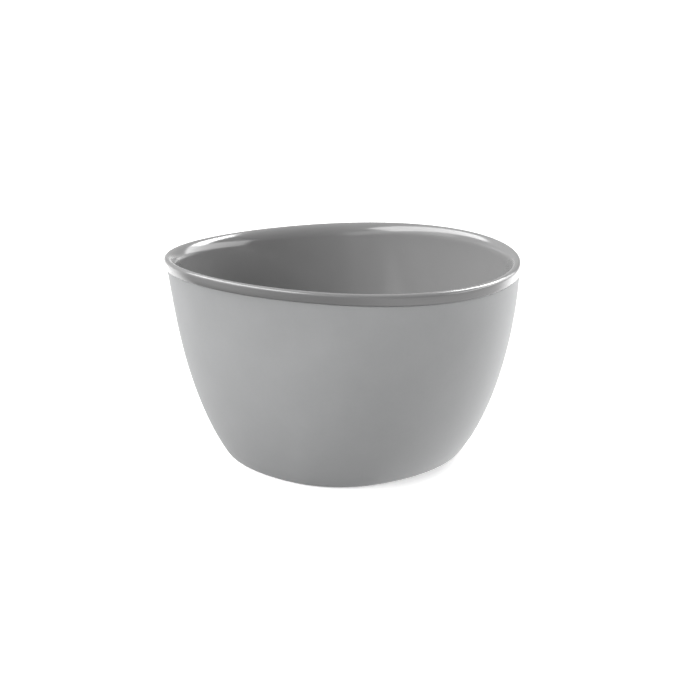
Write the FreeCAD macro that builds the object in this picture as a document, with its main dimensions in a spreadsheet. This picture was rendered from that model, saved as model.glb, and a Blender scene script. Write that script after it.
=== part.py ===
import FreeCAD, Part
import math
import os
import Sketcher

# A small serving bowl in two bonded layers, a matt outer shell and a glossy inner liner.
# Millimetres. The origin is on the table under the middle of the foot, and +Z is up.
# +Y points to the back of the bowl and +X to its right.

SIZES = {
    # the whole bowl
    "rim_width": 120.0,          # across the round rim
    "rim_height": 68.4,          # mean height of the rim's crest
    "foot_width": 81.6,          # mean width of the three-lobed foot
    "low_belly_narrower": 6.7,   # the wall leaves the foot towards a ring this much narrower than the rim ...
    "low_belly_height": 21.5,    # ... at this height
    "high_belly_narrower": 1.4,  # and it reaches the rim from a ring this much narrower than the rim ...
    "high_belly_drop": 7.2,      # ... and this far below it
    "belly_shift": 2.2,          # both of those rings stand this far to the right of the middle
    # the soft three-lobed plan, which fades and twists from the foot to the rim
    "foot_lobe_reach": 17.1,     # how far the corner arcs' centres stand off the middle
    "rim_lobe_reach": 1.0,
    "foot_lobe_turn": 26.5,      # degrees from +X to the first lobe
    "rim_lobe_turn": 60.0,
    # the gently waved rim
    "rim_wave": 1.17,            # rise at the back right and the front left
    "rim_margin": 5.0,           # the forms run on this far above the rim, and are cut to the wave
    "rim_tilt_right": -0.5,      # rise of the rim's right side
    "rim_tilt_back": -1.6,       # rise of the rim's back
    # thicknesses, both layers together
    "rim_wall": 3.5,
    "foot_wall": 4.7,            # measured level, so it is less across the sloping wall
    "floor_wall": 4.5,
    # the liner and its rolled lip
    "liner_wall": 1.2,
    "lip_depth": 3.7,            # from the crest down to the seam
    "lip_proud": 0.35,           # the lip stands this far outside the shell
    "lip_wall": 0.85,            # the shell steps in by this much behind the lip
    "lip_cap": 1.4,              # the lip's thickness over the top of the shell
    # rounds
    "crest_round_out": 1.15,
    "crest_flat": 0.4,           # level strip left on the crest: the inner round takes all the rest
    "foot_round": 2.6,
    "cavity_round": 9.0,
    # the underside
    "recess_depth": 1.2,
    "foot_land": 5.0,            # width of the flat ring that the bowl stands on
    "recess_round": 0.8,
}

LEVELS = (0.0, 0.18, 0.38, 0.62, 0.85, 1.0)    # where sections are taken, 0 foot, 1 rim
LOBES = 3
ROOT3 = math.sqrt(3.0)
SPREAD = 1.25     # the waved surfaces reach this many rim radii, past the lip
TOUCH = 0.001     # points nearer than this are the same


def make_sheet(doc):
    """Put the driving sizes in a spreadsheet, one named cell each."""
    sheet = doc.addObject("Spreadsheet::Sheet", "Sizes")
    for row, (name, value) in enumerate(SIZES.items(), start=1):
        sheet.set(f"A{row}", name)
        sheet.set(f"B{row}", str(value))
        sheet.setAlias(f"B{row}", name)
    doc.recompute()
    return sheet


def blend(level, foot, low, high, rim):
    """A smooth value between foot and rim, as an expression: a cubic Bezier curve."""
    rest = 1.0 - level
    weights = (rest**3, 3 * rest**2 * level, 3 * rest * level**2, level**3)
    return " + ".join(f"({w:.6f}) * ({term})" for w, term in zip(weights, (foot, low, high, rim)))


def mean_radius(level):
    return blend(level, "Sizes.foot_width / 2",
                 "(Sizes.rim_width - Sizes.low_belly_narrower) / 2",
                 "(Sizes.rim_width - Sizes.high_belly_narrower) / 2", "Sizes.rim_width / 2")


def section_height(level):
    return blend(level, "0", "Sizes.low_belly_height",
                 "Sizes.rim_height - Sizes.high_belly_drop", "Sizes.rim_height")


def fade(level, foot, rim):
    """An even change from foot to rim, as an expression."""
    return f"{1.0 - level:.4f} * {foot} + {level:.4f} * {rim}"


def wall_at(level):
    """Level thickness of the whole wall, which thickens towards the foot."""
    share = (1.0 - level)**2
    return f"({share:.4f} * Sizes.foot_wall + {1.0 - share:.4f} * Sizes.rim_wall)"


def add_section(doc, name, level, radius, height):
    """One closed section: three tight lobe arcs joined by three wide side arcs, all tangent.

    Every arc is centred on one of three points that stand a reach off the section's middle.
    """
    sketch = doc.addObject("Sketcher::SketchObject", name)
    reach = fade(level, "Sizes.foot_lobe_reach", "Sizes.rim_lobe_reach")
    turn = fade(level, "Sizes.foot_lobe_turn", "Sizes.rim_lobe_turn")
    start_turn = SIZES["foot_lobe_turn"] * (1.0 - level) + SIZES["rim_lobe_turn"] * level
    start_reach = 10.0
    start_radius = 50.0
    half = math.radians(30.0)
    turns = [math.radians(start_turn + 360.0 / LOBES * lobe) for lobe in range(LOBES)]
    centres = [FreeCAD.Vector(start_reach * math.cos(a), start_reach * math.sin(a), 0) for a in turns]
    up = FreeCAD.Vector(0, 0, 1)
    arcs = []
    for lobe, facing in enumerate(turns):
        corner = Part.Circle(centres[lobe], up, start_radius - ROOT3 / 2 * start_reach)
        arcs.append(Part.ArcOfCircle(corner, facing - half, facing + half))
        side_turn = facing + math.pi / LOBES
        side = Part.Circle(centres[(lobe + 2) % LOBES], up, start_radius + ROOT3 / 2 * start_reach)
        arcs.append(Part.ArcOfCircle(side, side_turn - half, side_turn + half))
    ids = sketch.addGeometry(arcs, False)
    for first in range(2 * LOBES):
        second = (first + 1) % (2 * LOBES)
        sketch.addConstraint(Sketcher.Constraint("Tangent", ids[first], 2, ids[second], 1))
    for lobe, centre in enumerate(centres):
        across = sketch.addConstraint(Sketcher.Constraint("DistanceX", -1, 1, ids[2 * lobe], 3, centre.x))
        along = sketch.addConstraint(Sketcher.Constraint("DistanceY", -1, 1, ids[2 * lobe], 3, centre.y))
        angle = f"({turn} + {360 // LOBES * lobe}) * 1 deg"
        sketch.setExpression(f"Constraints[{across}]", f"({reach}) * cos({angle})")
        sketch.setExpression(f"Constraints[{along}]", f"({reach}) * sin({angle})")
    for offset, sign in ((0, "-"), (1, "+")):
        own = sketch.addConstraint(Sketcher.Constraint("Radius", ids[offset], start_radius))
        sketch.setExpression(f"Constraints[{own}]", f"{radius} {sign} {ROOT3 / 2:.9f} * ({reach})")
        for lobe in range(1, LOBES):
            sketch.addConstraint(Sketcher.Constraint("Equal", ids[offset], ids[offset + 2 * lobe]))
    sketch.setExpression("Placement.Base.x", blend(level, "0", "Sizes.belly_shift",
                                                   "Sizes.belly_shift", "0"))
    sketch.setExpression("Placement.Base.z", height)
    return sketch


def add_form(doc, name, inset):
    """A closed bowl-shaped form: the outside's sections, moved in by inset(level)."""
    sections = []
    for number, level in enumerate(LEVELS):
        radius = f"({mean_radius(level)} - ({inset(level)}))"
        sections.append(add_section(doc, f"{name}_section_{number}", level, radius,
                                    section_height(level)))
    flare = "Sizes.rim_margin * Sizes.high_belly_narrower / 2 / Sizes.high_belly_drop"
    sections.append(add_section(doc, f"{name}_section_above", 1.0,
                                f"(Sizes.rim_width / 2 + {flare} - ({inset(1.0)}))",
                                "Sizes.rim_height + Sizes.rim_margin"))
    form = doc.addObject("Part::Loft", name)
    form.Sections = sections
    form.Solid = True
    form.Ruled = False
    return form


def add_wave(doc, name, drop):
    """The space above the waved surface that lies `drop` under the rim's crest.

    The surface is ruled between two skew edges, at the left and the right of the bowl.
    """
    edges = []
    for side, right in (("left", -1), ("right", 1)):
        edge = doc.addObject("Part::Line", f"{name}_{side}")
        for end, back in (("1", -1), ("2", 1)):
            level = (f"Sizes.rim_height - ({drop}) + {right * SPREAD} * Sizes.rim_tilt_right"
                     f" + {back * SPREAD} * Sizes.rim_tilt_back"
                     f" + {right * back * SPREAD**2} * 2 * Sizes.rim_wave")
            edge.setExpression(f"X{end}", f"{right * SPREAD} * Sizes.rim_width / 2")
            edge.setExpression(f"Y{end}", f"{back * SPREAD} * Sizes.rim_width / 2")
            edge.setExpression(f"Z{end}", level)
        edges.append(edge)
    surface = doc.addObject("Part::RuledSurface", f"{name}_surface")
    surface.Curve1 = (edges[0], [""])
    surface.Curve2 = (edges[1], [""])
    space = doc.addObject("Part::Extrusion", name)
    space.Base = surface
    space.DirMode = "Custom"
    space.Dir = FreeCAD.Vector(0, 0, 1)
    space.Solid = True
    space.setExpression("LengthFwd", "Sizes.rim_height")
    return space


def cut(doc, name, base, tool):
    """base less tool."""
    result = doc.addObject("Part::Cut", name)
    result.Base = base
    result.Tool = tool
    return result


def common(doc, name, first, second):
    """What two shapes share."""
    result = doc.addObject("Part::Common", name)
    result.Base = first
    result.Tool = second
    return result


def round_edges(doc, name, base, rounds):
    """Round the edges of base that each test picks: rounds is a list of (test, radius)."""
    doc.recompute()
    edges = []
    for number, edge in enumerate(base.Shape.Edges, start=1):
        for test, radius in rounds:
            if test(edge):
                edges.append((number, radius, radius))
    fillet = doc.addObject("Part::Fillet", name)
    fillet.Base = base
    fillet.Edges = edges
    return fillet


def middle(edge):
    """The point half way along an edge."""
    return edge.valueAt((edge.FirstParameter + edge.LastParameter) / 2)


def lies_flat_at(height):
    """A test for edges that lie level at this height."""
    def test(edge):
        box = edge.BoundBox
        return abs(box.ZMin - height) < TOUCH and abs(box.ZMax - height) < TOUCH
    return test


def wave_height(sheet, point, drop):
    """Height of the waved surface at a point, `drop` under the crest."""
    right = point.x / (sheet.rim_width / 2)
    back = point.y / (sheet.rim_width / 2)
    rise = sheet.rim_tilt_right * right + sheet.rim_tilt_back * back + 2 * sheet.rim_wave * right * back
    return sheet.rim_height - drop + rise


def lies_on_wave(sheet, drop, outside):
    """A test for rim edges on the waved surface, outside or inside the shell's top."""
    divide = (sheet.rim_width - sheet.rim_wall) / 2

    def test(edge):
        point = middle(edge)
        level = abs(edge.BoundBox.ZMax - edge.BoundBox.ZMin) < sheet.rim_height / 4
        on_wave = abs(point.z - wave_height(sheet, point, drop)) < TOUCH
        return level and on_wave and (math.hypot(point.x, point.y) > divide) == outside
    return test


def make_hollow(doc, name, inset, floor, corner):
    """The space inside a layer: a form that ends at the floor with a rounded corner."""
    whole = add_form(doc, f"{name}_form", inset)
    below = doc.addObject("Part::Box", f"{name}_below")
    below.setExpression("Length", "Sizes.rim_width")
    below.setExpression("Width", "Sizes.rim_width")
    below.setExpression("Height", f"{floor} + Sizes.rim_height")
    below.setExpression("Placement.Base.x", "-Sizes.rim_width / 2")
    below.setExpression("Placement.Base.y", "-Sizes.rim_width / 2")
    below.setExpression("Placement.Base.z", "-Sizes.rim_height")
    hollow = cut(doc, f"{name}_hollow", whole, below)
    doc.recompute()
    level = below.Height.Value + below.Placement.Base.z
    return round_edges(doc, name, hollow, [(lies_flat_at(level), corner)])


def make_outer_shell(doc, sheet, liner_space, tongue, seam_space, shell_top_space):
    """The matt layer: the foot, the wall and the thinner top that the lip wraps."""
    form = add_form(doc, "shell_form", lambda level: "0")
    rounded = round_edges(doc, "shell_blank", form, [(lies_flat_at(0.0), sheet.foot_round)])
    hollowed = cut(doc, "shell_hollowed", rounded, liner_space)
    step = cut(doc, "shell_step", seam_space, tongue)
    stepped = cut(doc, "shell_stepped", hollowed, step)
    topped = cut(doc, "shell_topped", stepped, shell_top_space)
    recess_radius = f"({mean_radius(0.0)} - Sizes.foot_round - Sizes.foot_land)"
    outline = add_section(doc, "recess_outline", 0.0, recess_radius, "0")
    recess = doc.addObject("Part::Extrusion", "recess")
    recess.Base = outline
    recess.DirMode = "Custom"
    recess.Dir = FreeCAD.Vector(0, 0, 1)
    recess.Solid = True
    recess.setExpression("LengthFwd", "Sizes.recess_depth")
    recessed = cut(doc, "shell_recessed", topped, recess)
    shell = round_edges(doc, "outer_shell", recessed,
                        [(lies_flat_at(sheet.recess_depth), sheet.recess_round)])
    shell.Label = "outer_shell"
    return shell


def make_inner_liner(doc, sheet, liner_space, cavity, tongue_ring, seam_space, crest_space):
    """The glossy layer: the inside, the rounded crest and the lip that rolls over the shell."""
    lip_form = add_form(doc, "lip_form", lambda level: "-Sizes.lip_proud")
    lip = common(doc, "lip", lip_form, seam_space)
    joined = doc.addObject("Part::Fuse", "liner_joined")
    joined.Base = liner_space
    joined.Tool = lip
    trimmed = cut(doc, "liner_trimmed", joined, crest_space)
    open_top = cut(doc, "liner_open", trimmed, cavity)
    crest_wall = sheet.rim_wall + sheet.lip_proud
    crest_round_in = crest_wall - sheet.crest_round_out - sheet.crest_flat
    rounded = round_edges(doc, "liner_rounded", open_top, [
        (lies_on_wave(sheet, 0.0, True), sheet.crest_round_out),
        (lies_on_wave(sheet, 0.0, False), crest_round_in),
    ])
    liner = cut(doc, "inner_liner", rounded, tongue_ring)
    liner.Label = "inner_liner"
    return liner


def write_parts(doc, pieces):
    """Check every object and each piece's solid, then write the pieces."""
    for item in doc.Objects:
        if "Invalid" in item.State or "Error" in item.State:
            raise RuntimeError(f"{item.Label} failed: {item.State}")
    for piece in pieces:
        if piece.Shape.isNull() or not piece.Shape.isValid() or len(piece.Shape.Solids) != 1:
            raise RuntimeError(f"{piece.Label} is not one valid solid")
    os.makedirs("parts", exist_ok=True)
    for piece in pieces:
        piece.Shape.exportStep(f"parts/{piece.Label}.step")
        print(f"{piece.Label}: {piece.Shape.Volume / 1000:.1f} cm3")


def main():
    doc = FreeCAD.newDocument("serving_bowl")
    sheet = make_sheet(doc)
    crest_space = add_wave(doc, "crest_space", "0")
    seam_space = add_wave(doc, "seam_space", "Sizes.lip_depth")
    shell_top_space = add_wave(doc, "shell_top_space", "Sizes.lip_cap")
    cavity = make_hollow(doc, "cavity", wall_at, "Sizes.floor_wall", sheet.cavity_round)
    liner_space = make_hollow(doc, "liner_space", lambda level: f"{wall_at(level)} - Sizes.liner_wall",
                              "(Sizes.floor_wall - Sizes.liner_wall)",
                              sheet.cavity_round + sheet.liner_wall)
    tongue = add_form(doc, "tongue_form", lambda level: "Sizes.lip_wall")
    tongue_wall = cut(doc, "tongue_wall", tongue, liner_space)
    tongue_above_seam = common(doc, "tongue_above_seam", tongue_wall, seam_space)
    tongue_ring = cut(doc, "tongue_ring", tongue_above_seam, shell_top_space)
    shell = make_outer_shell(doc, sheet, liner_space, tongue, seam_space, shell_top_space)
    liner = make_inner_liner(doc, sheet, liner_space, cavity, tongue_ring, seam_space, crest_space)
    doc.recompute()
    write_parts(doc, (shell, liner))


main()
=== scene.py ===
"""A small two-layer dip bowl: a matt outer shell and a glossy liner that rolls over its rim.

Everything is in metres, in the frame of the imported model: the origin is on the table under the
bowl, +Z is up, +Y is the back and +X the right.
"""

import logging
import math
from dataclasses import dataclass, field
from enum import Enum
from typing import Callable, Optional, Sequence, Union

import bpy
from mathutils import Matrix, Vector


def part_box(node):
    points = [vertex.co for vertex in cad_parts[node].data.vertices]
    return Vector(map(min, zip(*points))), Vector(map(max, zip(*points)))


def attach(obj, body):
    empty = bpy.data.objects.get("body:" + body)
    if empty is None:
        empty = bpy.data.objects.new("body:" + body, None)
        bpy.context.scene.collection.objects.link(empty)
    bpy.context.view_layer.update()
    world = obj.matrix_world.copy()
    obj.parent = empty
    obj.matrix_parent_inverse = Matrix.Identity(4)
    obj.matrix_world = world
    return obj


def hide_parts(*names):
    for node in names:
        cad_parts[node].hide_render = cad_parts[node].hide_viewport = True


LOG = logging.getLogger("bowl")
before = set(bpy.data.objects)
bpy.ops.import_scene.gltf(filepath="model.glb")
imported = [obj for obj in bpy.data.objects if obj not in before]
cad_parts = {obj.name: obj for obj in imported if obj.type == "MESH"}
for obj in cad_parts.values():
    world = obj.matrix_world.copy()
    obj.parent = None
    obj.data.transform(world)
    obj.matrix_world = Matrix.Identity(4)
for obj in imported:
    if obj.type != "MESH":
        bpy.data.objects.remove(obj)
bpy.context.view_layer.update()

Inset = Callable[[float], float]      # how far a surface lies inside the form, from a level

LOBES = 3
LOBE_STEP = 2 * math.pi / LOBES
MM = 0.001
HAIR = 0.1 * MM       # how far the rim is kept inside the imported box, across


# ---------------------------------------------------------------- shader graphs

class Sum(Enum):
    """The arithmetic that an expression on a Value adds to its graph."""

    ADD = "ADD"
    SUBTRACT = "SUBTRACT"
    MULTIPLY = "MULTIPLY"
    DIVIDE = "DIVIDE"
    LEAST = "MINIMUM"
    MOST = "MAXIMUM"


Number = Union[float, "Value"]
Colour = Union[Sequence[float], bpy.types.NodeSocket]


class Value:
    """A shader socket that carries one number, with Python's own arithmetic."""

    def __init__(self, graph: "Graph", socket: bpy.types.NodeSocket) -> None:
        """Wrap a socket.

        Args:
            graph: The graph that the socket belongs to.
            socket: The output socket to read.
        """
        self.graph = graph
        self.socket = socket

    def _with(self, sum_: Sum, left: Number, right: Number) -> "Value":
        """Add one Math node and return its result."""
        made = self.graph.add("ShaderNodeMath", {"operation": sum_.value}, {0: left, 1: right})
        return Value(self.graph, made.outputs[0])

    def __add__(self, other: Number) -> "Value":
        """self + other."""
        return self._with(Sum.ADD, self, other)

    def __radd__(self, other: Number) -> "Value":
        """other + self."""
        return self._with(Sum.ADD, other, self)

    def __sub__(self, other: Number) -> "Value":
        """self - other."""
        return self._with(Sum.SUBTRACT, self, other)

    def __rsub__(self, other: Number) -> "Value":
        """other - self."""
        return self._with(Sum.SUBTRACT, other, self)

    def __mul__(self, other: Number) -> "Value":
        """self * other."""
        return self._with(Sum.MULTIPLY, self, other)

    def __truediv__(self, other: Number) -> "Value":
        """self / other."""
        return self._with(Sum.DIVIDE, self, other)

    def most(self, other: Number) -> "Value":
        """The larger of this and another."""
        return self._with(Sum.MOST, self, other)

    def clamped(self) -> "Value":
        """The number, held between 0 and 1."""
        return self._with(Sum.MOST, self._with(Sum.LEAST, self, 1.0), 0.0)


class Graph:
    """The node tree of one material, with a Principled shader on its output."""

    def __init__(self, name: str) -> None:
        """Make the material.

        Args:
            name: The material's name.
        """
        self.material = bpy.data.materials.new(name)
        self.material.use_nodes = True
        self.tree = self.material.node_tree
        self.tree.nodes.clear()
        self.shader = self.add("ShaderNodeBsdfPrincipled")
        self.add("ShaderNodeOutputMaterial", None, {"Surface": self.shader.outputs[0]})
        self.place = self.add("ShaderNodeTexCoord").outputs["Object"]

    @classmethod
    def over(cls, tree: bpy.types.NodeTree) -> "Graph":
        """A graph over a tree that is there already, such as the world's, emptied."""
        made = cls.__new__(cls)
        made.tree = tree
        tree.nodes.clear()
        return made

    def add(self, kind: str, settings: Optional[dict] = None,
            values: Optional[dict] = None) -> bpy.types.Node:
        """Add one node of any kind.

        Args:
            kind: The node's type name.
            settings: Attributes to set before its sockets, such as a Math node's operation.
            values: Numbers, colours, sockets or Values for its inputs, by name or number.

        Returns:
            The new node.
        """
        node = self.tree.nodes.new(kind)
        for key, setting in (settings or {}).items():
            setattr(node, key, setting)
        for key, value in (values or {}).items():
            self.feed(node.inputs[key], value)
        return node

    def feed(self, socket: bpy.types.NodeSocket, value: object) -> None:
        """Link a Value or a socket to an input, or set the input to a number or colour."""
        if isinstance(value, Value):
            value = value.socket
        if isinstance(value, bpy.types.NodeSocket):
            self.tree.links.new(value, socket)
        else:
            socket.default_value = value

    def noise(self, size: float, detail: float = 2.0, roughness: float = 0.5,
              stretch: Sequence[float] = (1, 1, 1)) -> Value:
        """Smooth noise about its middle value of a half.

        Args:
            size: How large its blotches are, in metres.
            detail: How many finer octaves it has.
            roughness: How strong those are.
            stretch: How much longer the blotches are along X, Y and Z.

        Returns:
            The noise.
        """
        scaled = self.add("ShaderNodeMapping", None, {
            "Vector": self.place, "Scale": [1 / (size * s) for s in stretch]})
        made = self.add("ShaderNodeTexNoise", None, {
            "Vector": scaled.outputs[0], "Scale": 1.0, "Detail": detail, "Roughness": roughness})
        return Value(self, made.outputs["Fac"])

    def height(self) -> Value:
        """How high a point is above the table, in metres."""
        split = self.add("ShaderNodeSeparateXYZ", None, {0: self.place})
        return Value(self, split.outputs["Z"])

    def dot(self, way: bpy.types.NodeSocket, axis: Sequence[float]) -> Value:
        """How far a direction goes along an axis."""
        made = self.add("ShaderNodeVectorMath", {"operation": "DOT_PRODUCT"}, {0: way, 1: axis})
        return Value(self, made.outputs["Value"])

    def ramp(self, value: Value, low: float, high: float) -> Value:
        """0 where value is below low and 1 where it is above high, smooth in between."""
        made = self.add("ShaderNodeMapRange", {"interpolation_type": "SMOOTHSTEP"}, {
            "Value": value, "From Min": low, "From Max": high})
        return Value(self, made.outputs["Result"])

    def mix(self, amount: Number, first: Colour, second: Colour) -> bpy.types.NodeSocket:
        """A colour between two colours.

        Args:
            amount: 0 for the first colour and 1 for the second.
            first: A linear colour, or a colour socket.
            second: A linear colour, or a colour socket.

        Returns:
            The mixed colour's socket.
        """
        made = self.add("ShaderNodeMix", {"data_type": "RGBA"}, {0: amount, 6: first, 7: second})
        return made.outputs[2]

    def bump(self, relief: Value, depth: float,
             below: Optional[bpy.types.NodeSocket] = None) -> bpy.types.NodeSocket:
        """Surface relief.

        Args:
            relief: The relief's height, from 0 to 1.
            depth: How high 1 is, in metres.
            below: The normal that this relief is laid over, if any.

        Returns:
            The normal's socket.
        """
        values = {"Height": relief, "Distance": depth, "Strength": 1.0}
        if below is not None:
            values["Normal"] = below
        return self.add("ShaderNodeBump", None, values).outputs[0]

    def dress(self, **sockets: object) -> bpy.types.Material:
        """Set the Principled shader's sockets, with spaces in their names as underscores."""
        for name, value in sockets.items():
            self.feed(self.shader.inputs[name.replace("_", " ")], value)
        return self.material


# ---------------------------------------------------------------- finishes

def grey(level: float, cool: float = 0.0) -> tuple:
    """A linear grey with a little blue in it.

    Args:
        level: The grey's linear brightness.
        cool: How much more blue than red it has, as a share.

    Returns:
        Red, green, blue and alpha.
    """
    return (level * (1 - cool / 2), level, level * (1 + cool / 2), 1.0)


@dataclass(frozen=True)
class MattMelamine:
    """The outside: dull moulded ware with a fine even grain."""

    colour: float = 0.36
    cool: float = 0.02
    mottle: float = 0.04
    mottle_size: float = 14 * MM
    speck_size: float = 0.9 * MM
    grain_size: float = 0.35 * MM
    grain_depth: float = 0.012 * MM
    sway_size: float = 11 * MM         # the wall's slight unevenness
    sway_depth: float = 0.03 * MM
    worn_height: float = 1.4 * MM      # where the foot is rubbed, above the table
    worn_start: float = 0.2 * MM
    scuff_size: float = 1.6 * MM
    scuff_pale: float = 1.35
    roughness: float = 0.62

    def material(self) -> bpy.types.Material:
        """Build the material."""
        g = Graph("matt_melamine")
        mottle = g.noise(self.mottle_size, 3.0, 0.6)
        speck = g.noise(self.speck_size, 1.0)
        shade = (mottle - 0.5) * 1.6 + (speck - 0.5) * 0.5 + 0.5
        base = g.mix(shade.clamped(), grey(self.colour * (1 - self.mottle), self.cool),
                     grey(self.colour * (1 + self.mottle), self.cool))
        worn = 1 - g.ramp(g.height(), self.worn_start, self.worn_height)
        scuffs = g.ramp(g.noise(self.scuff_size, 3.0, 0.7, (3, 3, 1)), 0.45, 0.62)
        base = g.mix((worn * scuffs * 0.5).clamped(), base,
                     grey(self.colour * self.scuff_pale, self.cool))
        rough = self.roughness + (mottle - 0.5) * 0.10 - worn * 0.12
        grain = g.noise(self.grain_size, 3.0, 0.6)
        sway = g.bump(g.noise(self.sway_size, 1.0), self.sway_depth)
        normal = g.bump(grain, self.grain_depth, sway)
        return g.dress(Base_Color=base, Roughness=rough, Normal=normal, Specular_IOR_Level=0.5)


@dataclass(frozen=True)
class GlossMelamine:
    """The inside and the lip: the same ware, polished."""

    colour: float = 0.20
    mottle: float = 0.03
    mottle_size: float = 18 * MM
    hairline_size: float = 0.5 * MM
    sway_size: float = 9 * MM          # the surface's slight unevenness
    sway_depth: float = 0.012 * MM
    roughness: float = 0.16
    coat: float = 0.35
    coat_roughness: float = 0.05

    def material(self) -> bpy.types.Material:
        """Build the material."""
        g = Graph("gloss_melamine")
        mottle = g.noise(self.mottle_size, 3.0, 0.55)
        base = g.mix(mottle, grey(self.colour * (1 - self.mottle)),
                     grey(self.colour * (1 + self.mottle)))
        hairlines = g.ramp(g.noise(self.hairline_size, 2.0, 0.6, (1, 1, 14)), 0.6, 0.75)
        rough = self.roughness + (mottle - 0.5) * 0.05 + hairlines * 0.03
        normal = g.bump(g.noise(self.sway_size, 1.0), self.sway_depth)
        return g.dress(Base_Color=base, Roughness=rough, Normal=normal, IOR=1.5,
                       Coat_Weight=self.coat, Coat_Roughness=self.coat_roughness)


# ---------------------------------------------------------------- the bowl's form

@dataclass
class Form:
    """The bowl's outside as a family of level sections, each of three tight and three wide arcs.

    A section is read by the direction its edge faces. `out` is how far the edge stands out along
    that direction, and `along` how far it stands to the left of it.
    """

    rim_width: float
    rim_height: float = 68.39 * MM
    foot_width: float = 81.6 * MM
    low_narrower: float = 6.7 * MM
    low_height: float = 21.5 * MM
    high_narrower: float = 1.4 * MM
    high_drop: float = 7.2 * MM
    belly_shift: float = 2.2 * MM
    foot_reach: float = 17.1 * MM
    rim_reach: float = 1.0 * MM
    foot_turn: float = math.radians(26.5)
    rim_turn: float = math.radians(60.0)
    wave: float = 1.17 * MM
    tilt_right: float = -0.5 * MM
    tilt_back: float = -1.6 * MM
    rim_wall: float = 3.5 * MM
    foot_wall: float = 4.7 * MM

    def blend(self, level: float, foot: float, low: float, high: float, rim: float) -> float:
        """A smooth value between foot (level 0) and rim (level 1): a cubic Bezier curve."""
        rest = 1.0 - level
        return (rest**3 * foot + 3 * rest**2 * level * low + 3 * rest * level**2 * high
                + level**3 * rim)

    def height_of(self, level: float) -> float:
        """Height of the section at a level."""
        return self.blend(level, 0.0, self.low_height, self.rim_height - self.high_drop,
                          self.rim_height)

    def level_at(self, height: float) -> float:
        """The level whose section lies at this height, or the rim's above it."""
        low, high = 0.0, 1.0
        for _ in range(30):
            middle = (low + high) / 2
            if self.height_of(middle) < height:
                low = middle
            else:
                high = middle
        return (low + high) / 2

    def wall(self, level: float) -> float:
        """Thickness of the whole wall, measured level."""
        fade = (1.0 - level)**2
        return fade * self.foot_wall + (1 - fade) * self.rim_wall

    def edge(self, facing: float, height: float, inset: Inset) -> tuple:
        """Where a section's edge stands in one direction.

        Args:
            facing: The direction that the edge faces, in radians from +X.
            height: The section's height.
            inset: How far the edge is moved in, from a level.

        Returns:
            out, along and the section's shift along X.
        """
        level = self.level_at(height)
        fade = 1.0 - level
        reach = fade * self.foot_reach + level * self.rim_reach
        mean = self.blend(level, self.foot_width / 2, (self.rim_width - self.low_narrower) / 2,
                          (self.rim_width - self.high_narrower) / 2, self.rim_width / 2)
        mean += max(0.0, height - self.rim_height) * self.high_narrower / 2 / self.high_drop
        turn = (facing - fade * self.foot_turn - level * self.rim_turn) % LOBE_STEP
        if turn > LOBE_STEP / 2:
            turn -= LOBE_STEP
        if abs(turn) <= LOBE_STEP / 4:
            radius = mean - math.sqrt(3) / 2 * reach
        else:
            radius = mean + math.sqrt(3) / 2 * reach
            turn += math.pi - math.copysign(LOBE_STEP / 2, turn)
        out = reach * math.cos(turn) + radius - inset(level)
        along = -reach * math.sin(turn)
        shift = self.blend(level, 0.0, self.belly_shift, self.belly_shift, 0.0)
        return out, along, shift

    def crest(self, x: float, y: float) -> float:
        """Height of the waved rim's crest over a place."""
        right = x / (self.rim_width / 2)
        back = y / (self.rim_width / 2)
        return (self.rim_height + self.tilt_right * right + self.tilt_back * back
                + 2 * self.wave * right * back)


@dataclass
class Meridian:
    """One closed outline of a layer, in the plane that its edge faces, from pole to pole."""

    form: Form
    facing: float
    places: list = field(default_factory=list)

    def at(self, out: float, along: float, height: float, shift: float = 0.0) -> None:
        """Add one place to the outline."""
        self.places.append((out, along, height, shift))

    def wall(self, inset: Inset, start: float, end: float, steps: int) -> None:
        """Follow a wall from one height to another."""
        for step in range(steps + 1):
            height = start + (end - start) * step / steps
            out, along, shift = self.form.edge(self.facing, height, inset)
            self.at(out, along, height, shift)

    def slope(self, inset: Inset, height: float) -> float:
        """The angle of a wall from level, at a height."""
        step = 0.2 * MM
        low = self.form.edge(self.facing, height - step / 2, inset)[0]
        high = self.form.edge(self.facing, height + step / 2, inset)[0]
        return math.atan2(step, high - low)

    def corner(self, inset: Inset, floor: float, radius: float,
               steps: int) -> list:
        """The round between a floor and a wall, from the floor to the wall.

        Returns:
            Its places, whose last lies on the wall.
        """
        top = floor + radius * 0.4
        for _ in range(6):
            lean = self.slope(inset, top)
            top = floor + radius * (1 - math.cos(lean))
        out, along, shift = self.form.edge(self.facing, top, inset)
        middle = out - radius * math.sin(lean)
        places = []
        for step in range(steps + 1):
            turn = lean * step / steps
            rise = radius * (1 - math.cos(turn))
            places.append((middle + radius * math.sin(turn), along, floor + rise, shift))
        return places

    def under_crest(self, inset: Inset, drop: float, aside: float = 0.0) -> tuple:
        """A place at a drop below the waved crest, moved out by aside from a wall."""
        height = self.form.rim_height - drop
        for _ in range(4):
            out, along, shift = self.form.edge(self.facing, height, inset)
            out += aside
            x = out * math.cos(self.facing) - along * math.sin(self.facing) + shift
            y = out * math.sin(self.facing) + along * math.cos(self.facing)
            height = self.form.crest(x, y) - drop
        return out, along, height, shift

    def disc(self, rim: tuple, shares: Sequence[float]) -> None:
        """Add places between the middle of a floor and its rim, at shares of the rim's distance."""
        for share in shares:
            self.at(rim[0] * share, rim[1] * share, rim[2], rim[3])

    def points(self) -> list:
        """The outline's places as points of the bowl."""
        c, s = math.cos(self.facing), math.sin(self.facing)
        return [Vector((out * c - along * s + shift, out * s + along * c, height))
                for out, along, height, shift in self.places]


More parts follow.
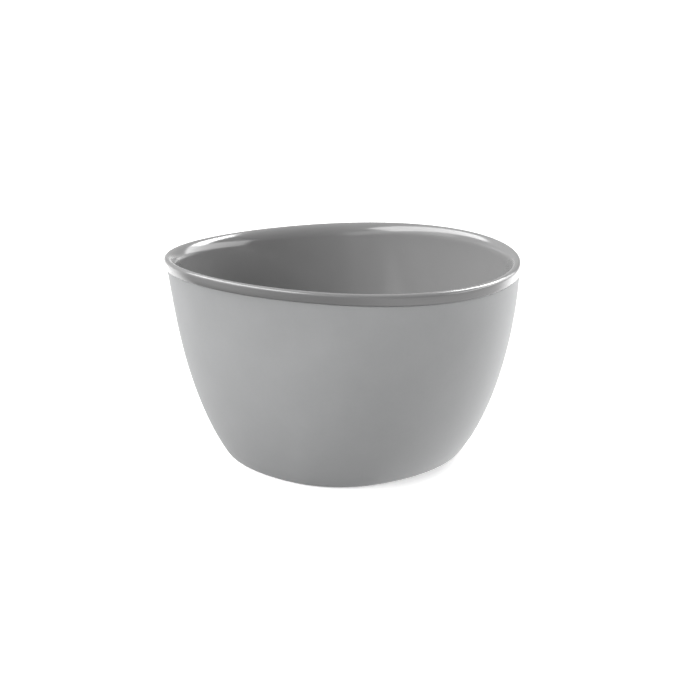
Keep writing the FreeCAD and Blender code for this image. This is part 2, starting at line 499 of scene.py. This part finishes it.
def skin(name: str, meridians: list) -> bpy.types.Object:
    """A closed mesh of quads through a ring of outlines, with one point at each pole.

    Args:
        name: The piece's name.
        meridians: Each outline's points, in order round the bowl, all of one length.

    Returns:
        The new object, shaded smooth.
    """
    around, length = len(meridians), len(meridians[0])
    points = [point for outline in meridians for point in outline]
    poles = []
    for end in (0, length - 1):
        middle = sum((outline[end] for outline in meridians), Vector()) / around
        poles.append(len(points))
        points.append(middle)
    faces = []
    for first in range(around):
        second = (first + 1) % around
        a, b = first * length, second * length
        faces += [(a + n, b + n, b + n + 1, a + n + 1) for n in range(length - 1)]
        faces.append((poles[0], b, a))
        faces.append((poles[1], a + length - 1, b + length - 1))
    mesh = bpy.data.meshes.new(name)
    mesh.from_pydata([tuple(p) for p in points], [], faces)
    mesh.validate()
    mesh.polygons.foreach_set("use_smooth", [True] * len(mesh.polygons))
    made = bpy.data.objects.new(name, mesh)
    bpy.context.scene.collection.objects.link(made)
    return made


@dataclass
class Layers:
    """Where the two layers meet. Each method gives how far a surface lies inside the form."""

    form: Form
    floor_wall: float = 4.5 * MM
    liner_wall: float = 1.2 * MM
    cavity_round: float = 9.0 * MM
    lip_depth: float = 3.7 * MM
    lip_proud: float = 0.35 * MM
    lip_wall: float = 0.85 * MM
    lip_cap: float = 1.4 * MM

    def outside(self, level: float) -> float:
        """The shell's outside, which is the form itself."""
        return 0.0

    def lip(self, level: float) -> float:
        """The lip's outside, which stands proud of the shell."""
        return -self.lip_proud

    def behind_lip(self, level: float) -> float:
        """The face of the shell's thinner top that the lip covers."""
        return self.lip_wall

    def between(self, level: float) -> float:
        """The face where the shell and the liner are bonded."""
        return self.form.wall(level) - self.liner_wall

    def bonded(self, line: Meridian) -> None:
        """Follow the face that the layers share, from the seam over the top down to the floor."""
        line.places.append(line.under_crest(self.behind_lip, self.lip_depth))
        line.places.append(line.under_crest(self.behind_lip, self.lip_cap))
        line.places.append(line.under_crest(self.between, self.lip_cap))
        bowl = line.corner(self.between, self.floor_wall - self.liner_wall,
                           self.cavity_round + self.liner_wall, 8)
        line.wall(self.between, line.places[-1][2] - 2 * MM, bowl[-1][2] + 1 * MM, 20)
        line.places += reversed(bowl)
        line.disc(bowl[0], (0.7, 0.4, 0.15))


@dataclass
class OuterShell:
    """The matt layer: foot, underside and wall, with a thinner top behind the lip."""

    form: Form
    layers: Layers
    foot_round: float = 2.6 * MM
    recess_depth: float = 1.2 * MM
    foot_land: float = 5.0 * MM
    recess_round: float = 0.8 * MM
    recess_lap: float = 0.2 * MM         # how far the recess's edge is eased
    around: int = 288
    finish: MattMelamine = MattMelamine()

    def outline(self, facing: float) -> list:
        """One outline, from the middle of the underside round to the middle of the floor."""
        form, layers = self.form, self.layers
        line = Meridian(form, facing)
        inner = self.foot_round + self.foot_land
        edge = form.edge(facing, 0.0, lambda level: inner)
        deep, soft = self.recess_depth, self.recess_round
        ceiling = (edge[0] - soft, edge[1], deep, edge[2])
        line.disc(ceiling, (0.12, 0.3, 0.5, 0.7, 0.85, 0.95, 1.0))
        for step in range(1, 6):
            turn = math.pi / 2 * step / 5
            line.at(ceiling[0] + soft * math.sin(turn), edge[1],
                    deep - soft * (1 - math.cos(turn)), edge[2])
        lap = self.recess_lap
        line.at(edge[0], edge[1], lap, edge[2])
        line.at(edge[0] + 0.3 * lap, edge[1], 0.3 * lap, edge[2])
        line.at(edge[0] + lap, edge[1], 0.0, edge[2])
        foot = line.corner(layers.outside, 0.0, self.foot_round, 9)
        for share in (0.25, 0.5, 0.75, 0.95):
            line.at(edge[0] + lap + (foot[0][0] - edge[0] - lap) * share,
                    edge[1] + (foot[0][1] - edge[1]) * share, 0.0, foot[0][3] * share)
        line.places += foot
        seam = line.under_crest(layers.outside, layers.lip_depth)
        line.wall(layers.outside, foot[-1][2] + 0.6 * MM, seam[2] - 0.5 * MM, 56)
        line.places.append(seam)
        layers.bonded(line)
        return line.points()

    def build(self) -> bpy.types.Object:
        """Make the shell and put it in place of the plain one."""
        outlines = [self.outline(2 * math.pi * n / self.around) for n in range(self.around)]
        shell = skin("matt_shell", outlines)
        shell.data.materials.append(self.finish.material())
        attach(shell, "root")
        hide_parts("outer_shell")
        LOG.info("%s: %d faces", shell.name, len(shell.data.polygons))
        return shell


@dataclass
class InnerLiner:
    """The glossy layer: the inside, the rounded crest and the lip that rolls over the shell."""

    form: Form
    layers: Layers
    crest_round_out: float = 1.15 * MM
    crest_round_in: float = 2.65 * MM
    crest_round_in_tall: float = 4.2 * MM
    lip_edge_round: float = 0.25 * MM
    lip_rings: tuple = (1.5 * MM, 2.0 * MM, 2.6 * MM, 3.1 * MM)
    around: int = 288
    finish: GlossMelamine = GlossMelamine()

    def outline(self, facing: float) -> list:
        """One outline, from the middle of the floor over the rim to the middle underneath."""
        form, layers = self.form, self.layers
        line = Meridian(form, facing)
        bowl = line.corner(form.wall, layers.floor_wall, layers.cavity_round, 16)
        line.disc(bowl[0], (0.1, 0.25, 0.45, 0.65, 0.82, 0.94))
        line.places += bowl
        wide, tall = self.crest_round_in, self.crest_round_in_tall
        below = line.under_crest(form.wall, tall)
        line.wall(form.wall, bowl[-1][2] + 0.8 * MM, below[2] - 0.4 * MM, 60)
        for step in range(13):
            turn = math.pi / 2 * step / 12
            line.places.append(line.under_crest(form.wall, tall * (1 - math.sin(turn)),
                                                wide * (1 - math.cos(turn))))
        soft = self.crest_round_out
        for step in range(11):
            turn = math.pi / 2 * step / 10
            line.places.append(line.under_crest(layers.lip, soft * (1 - math.cos(turn)),
                                                -soft * (1 - math.sin(turn))))
        for drop in self.lip_rings:
            line.places.append(line.under_crest(layers.lip, drop))
        edge = self.lip_edge_round
        for step in range(6):
            turn = math.pi / 2 * step / 5
            line.places.append(line.under_crest(
                layers.lip, layers.lip_depth - edge * (1 - math.sin(turn)),
                -edge * (1 - math.cos(turn))))
        layers.bonded(line)
        line.places.reverse()
        return line.points()

    def build(self) -> bpy.types.Object:
        """Make the liner and put it in place of the plain one."""
        outlines = [self.outline(2 * math.pi * n / self.around) for n in range(self.around)]
        liner = skin("gloss_liner", outlines)
        liner.data.materials.append(self.finish.material())
        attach(liner, "root")
        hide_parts("inner_liner")
        LOG.info("%s: %d faces", liner.name, len(liner.data.polygons))
        return liner


# ---------------------------------------------------------------- floor, light and camera

@dataclass
class Softbox:
    """A soft-edged bright panel, far off in the sky. It lights the bowl as a studio lamp would."""

    turn: float          # degrees round the bowl from the camera's side, to the right
    rise: float          # degrees above the table
    width: float         # half its width, as a tangent
    height: float        # half its height, as a tangent
    level: float         # its brightness
    edge: float = 0.15   # how soft its edge is, as a share of its size
    behind: tuple = (0.05, 0.15)     # where it fades out, seen from the side

    def light(self, graph: Graph, way: bpy.types.NodeSocket) -> Value:
        """How bright this panel makes the sky in a direction.

        Args:
            graph: The world's node tree.
            way: The direction's socket.

        Returns:
            The brightness.
        """
        turn, rise = math.radians(self.turn), math.radians(self.rise)
        ahead = Vector((math.sin(turn) * math.cos(rise), -math.cos(turn) * math.cos(rise),
                        math.sin(rise)))
        across = Vector((0, 0, 1)).cross(ahead).normalized()
        along = graph.dot(way, ahead)
        seen = graph.ramp(along, *self.behind)
        for axis, half in ((across, self.width), (ahead.cross(across), self.height)):
            off = graph.dot(way, axis)
            off = off.most(0 - off) / along.most(self.behind[0])
            seen = seen * (1 - graph.ramp(off, half * (1 - self.edge), half * (1 + self.edge)))
        return seen * self.level


@dataclass
class Studio:
    """A pale seamless floor, a sky with soft bright panels, and the camera.

    The sky is brighter behind the bowl than in front of it. Its half below the floor stands for
    the light that a white table throws back up.
    """

    middle: Vector
    softboxes: Sequence[Softbox]
    floor_size: float = 6.0
    floor_white: float = 0.86
    floor_glow: float = 0.35
    sky_front: float = 0.20
    sky_back: float = 0.46
    table_front: float = 0.08
    table_back: float = 1.9
    table_right: float = 1.35
    back_edge: tuple = (0.4, 0.75)       # where the front fades into the back
    horizon: tuple = (-0.25, 0.15)       # where the table fades into the sky
    right_edge: tuple = (-0.2, 0.8)      # where the table's right side comes in
    camera_rise: float = math.radians(15.44)
    camera_away: float = 0.87
    focal_width: float = 3.747       # the lens, as a multiple of the sensor's width
    sensor: float = 36.0
    shift_x: float = -0.0039
    shift_y: float = 0.0245

    def floor(self) -> None:
        """Make the floor, which catches the bowl's shadow and throws no light of its own on it."""
        half = self.floor_size / 2
        mesh = bpy.data.meshes.new("floor")
        corners = [(-half, -half, 0), (half, -half, 0), (half, half, 0), (-half, half, 0)]
        mesh.from_pydata(corners, [], [(0, 1, 2, 3)])
        floor = bpy.data.objects.new("floor", mesh)
        g = Graph("floor_white")
        tone = g.mix(g.noise(0.4, 1.0), grey(self.floor_white * 0.995), grey(self.floor_white))
        floor.data.materials.append(g.dress(
            Base_Color=tone, Roughness=0.6, Specular_IOR_Level=0.2,
            Emission_Color=grey(1.0), Emission_Strength=self.floor_glow))
        floor.visible_diffuse = False
        floor.visible_glossy = False
        floor.visible_shadow = False
        bpy.context.scene.collection.objects.link(floor)

    def world(self) -> None:
        """Light everything from all round, with the softboxes on top."""
        world = bpy.data.worlds.new("studio")
        world.use_nodes = True
        g = Graph.over(world.node_tree)
        way = g.add("ShaderNodeTexCoord").outputs["Generated"]
        right, back, up = (g.dot(way, axis) for axis in ((1, 0, 0), (0, 1, 0), (0, 0, 1)))
        back = g.ramp(back, *self.back_edge)
        above = g.ramp(up, *self.horizon)
        lit = self.sky_front + back * (self.sky_back - self.sky_front)
        below = self.table_front + back * (self.table_back - self.table_front)
        below = below + g.ramp(right, *self.right_edge) * self.table_right
        level = below + above * (lit - below)
        for softbox in self.softboxes:
            level = level + softbox.light(g, way)
        light = g.add("ShaderNodeBackground", None, {"Color": grey(1.0), "Strength": level})
        g.add("ShaderNodeOutputWorld", None, {"Surface": light.outputs[0]})
        bpy.context.scene.world = world

    def camera(self) -> None:
        """Make the camera, in front of the bowl and a little above it."""
        data = bpy.data.cameras.new("camera")
        data.sensor_width = self.sensor
        data.lens = self.sensor * self.focal_width
        data.shift_x = self.shift_x
        data.shift_y = self.shift_y
        camera = bpy.data.objects.new("camera", data)
        back = Vector((0, -math.cos(self.camera_rise), math.sin(self.camera_rise)))
        camera.location = self.middle + back * self.camera_away
        camera.rotation_euler = (-back).to_track_quat("-Z", "Y").to_euler()
        bpy.context.scene.collection.objects.link(camera)
        bpy.context.scene.camera = camera

    def build(self) -> None:
        """Make the floor, the sky and the camera."""
        self.floor()
        self.world()
        self.camera()


def main() -> None:
    """Build the bowl and the studio round it."""
    logging.basicConfig(level=logging.INFO)
    low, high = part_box("inner_liner")
    form = Form(rim_width=high[0] - low[0] - 2 * Layers.lip_proud - HAIR)
    layers = Layers(form)
    OuterShell(form, layers).build()
    InnerLiner(form, layers).build()
    Studio(Vector((0, 0, 33 * MM)), (
        Softbox(-78, 41.6, 0.95, 0.33, 6.8),
        Softbox(135, 38, 0.20, 0.22, 13.0),
        Softbox(-42, 17, 0.91, 0.20, 1.3),
        Softbox(109, 17.5, 0.68, 0.20, 3.6),
    )).build()
    bpy.context.scene.view_settings.view_transform = "Standard"


if __name__ == "__main__":
    main()
